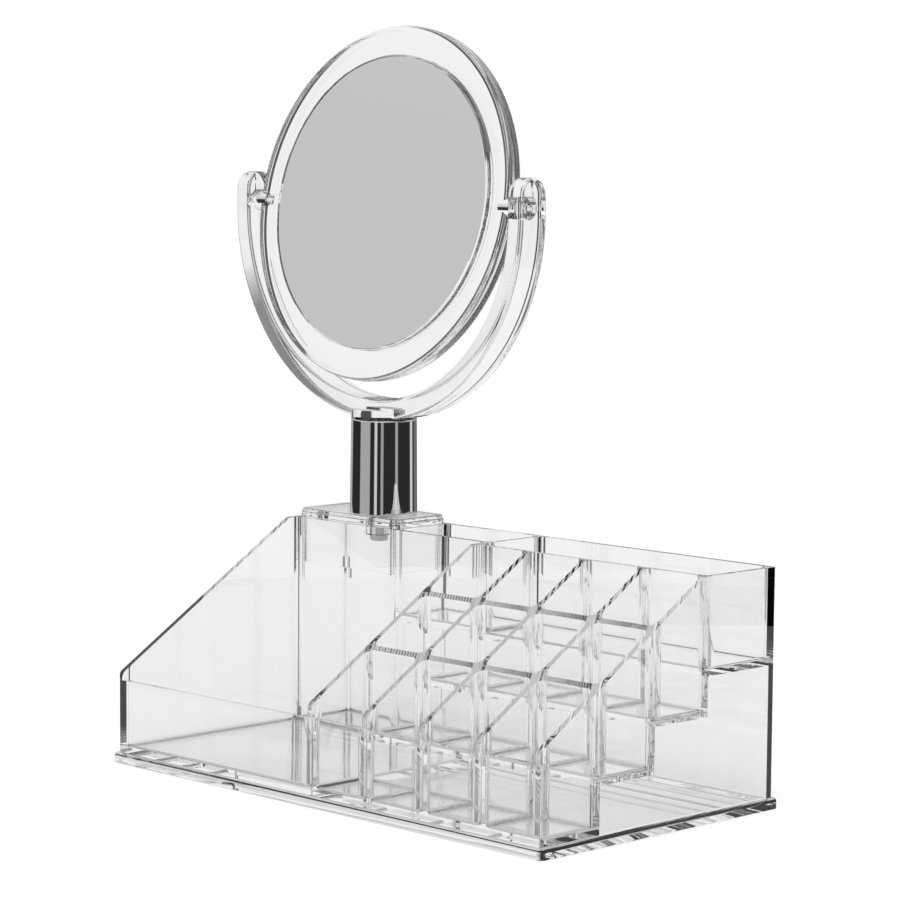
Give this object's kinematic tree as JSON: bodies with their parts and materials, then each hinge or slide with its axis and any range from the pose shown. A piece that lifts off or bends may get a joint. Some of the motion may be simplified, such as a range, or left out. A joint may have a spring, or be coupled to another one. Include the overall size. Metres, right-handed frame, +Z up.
{
  "type": "cosmetics organiser with swivel mirror",
  "caption": "Clear cosmetics organiser: sloped rack of slots, open tray and back compartments, with a lift-out stand carrying a two-sided tilting round mirror.",
  "frame": {"origin": "middle of the base plate's underside", "axes": "+X along the front from left to right, +Y from front to back, +Z up"},
  "size_m": [0.2723, 0.1246, 0.2837],
  "materials": {
    "clear_plastic": "polished clear injection moulding",
    "chrome": "bright plated",
    "screw_steel": "zinc plated",
    "mirror_glass": "silvered glass",
    "backing_card": "plain card"
  },
  "bodies": {
    "organizer": {"organizer_body": "clear_plastic", "base_plate": "clear_plastic"},
    "stand": {"stand_plug": "clear_plastic", "chrome_sleeve": "chrome", "stem_screw": "screw_steel", "yoke": "clear_plastic"},
    "mirror": {"mirror_frame": "clear_plastic", "plain_mirror": "mirror_glass", "magnifying_mirror": "mirror_glass", "backing_disc": "backing_card"}
  },
  "joints": [
    {"name": "stand_lift", "type": "slide", "parent": "organizer", "child": "stand", "axis": [0, 0, 1], "range_m": [0, 0.025]},
    {"name": "mirror_tilt", "type": "hinge", "parent": "stand", "child": "mirror", "pos_m": [-0.0765, 0.0451, 0.214], "axis": [1, 0, 0], "continuous": true}
  ]
}
